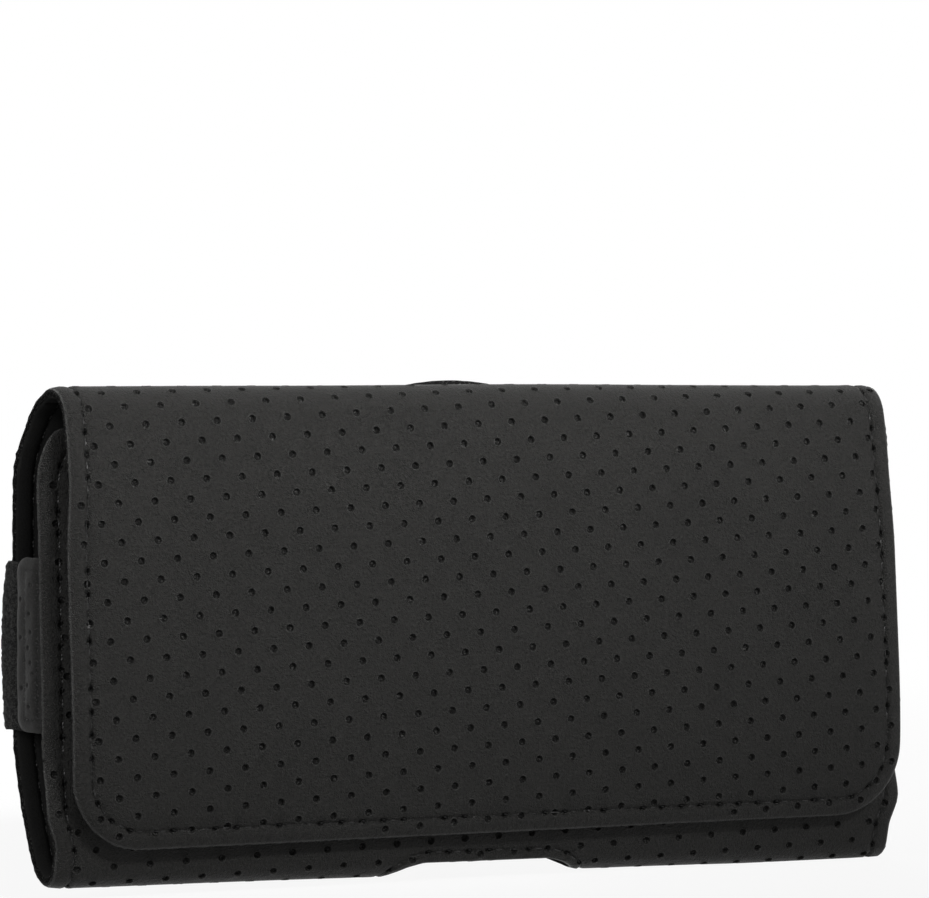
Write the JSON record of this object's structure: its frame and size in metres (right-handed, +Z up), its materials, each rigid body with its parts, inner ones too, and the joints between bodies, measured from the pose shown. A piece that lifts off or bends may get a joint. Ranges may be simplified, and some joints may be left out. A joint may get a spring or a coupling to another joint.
{
  "type": "phone belt holster",
  "caption": "Horizontal belt pouch for a phone: perforated leather shell with a magnetic flap, elastic side tabs, a belt clip and belt loops.",
  "frame": {"origin": "middle of the belt channel between the clip's two legs", "axes": "+X along the pouch to the right as seen from the front, +Y towards the wearer, +Z up as the pouch is worn"},
  "size_m": [0.1836, 0.0415, 0.0928],
  "materials": {
    "perforated_leather": "smooth fine-grained black synthetic leather with punched holes",
    "plain_leather": "smooth fine-grained black synthetic leather",
    "tab_leather": "soft black synthetic leather with a padded rib and sewn lines",
    "lining": "black brushed lining with a raw fibrous edge",
    "elastic": "black woven elastic",
    "board": "pressed fibre board",
    "magnet": "nickel-plated disc",
    "spring_steel": "black-coated spring steel",
    "rivet_steel": "dark-plated steel"
  },
  "bodies": {
    "holster": {"body_leather": "perforated_leather", "body_lining": "lining", "back_board": "board", "pocket_board": "board", "pocket_magnet_left": "magnet", "pocket_magnet_right": "magnet", "side_tab_left": "tab_leather", "side_tab_right": "tab_leather", "elastic_left": "elastic", "elastic_right": "elastic", "clip_patch": "plain_leather", "clip_spring": "spring_steel", "clip_cover": "plain_leather", "clip_rivets": "rivet_steel", "rivet_washers": "rivet_steel", "belt_loop_left": "plain_leather", "belt_loop_right": "plain_leather"},
    "spine": {"spine_leather": "perforated_leather", "spine_lining": "lining"},
    "flap": {"flap_leather": "perforated_leather", "flap_lining": "lining", "flap_board": "board", "flap_magnet_left": "magnet", "flap_magnet_right": "magnet"}
  },
  "joints": [
    {"name": "spine_hinge", "type": "hinge", "parent": "holster", "child": "spine", "pos_m": [0, -0.00926, 0.02353], "axis": [-1, 0, 0], "range_deg": [0, 90]},
    {"name": "flap_hinge", "type": "hinge", "parent": "spine", "child": "flap", "pos_m": [0, -0.0207, 0.02636], "axis": [-1, 0, 0], "range_deg": [0, 90]}
  ],
  "couplings": [
    {"joint": "spine_hinge", "follows": "flap_hinge", "ratio": 1}
  ]
}
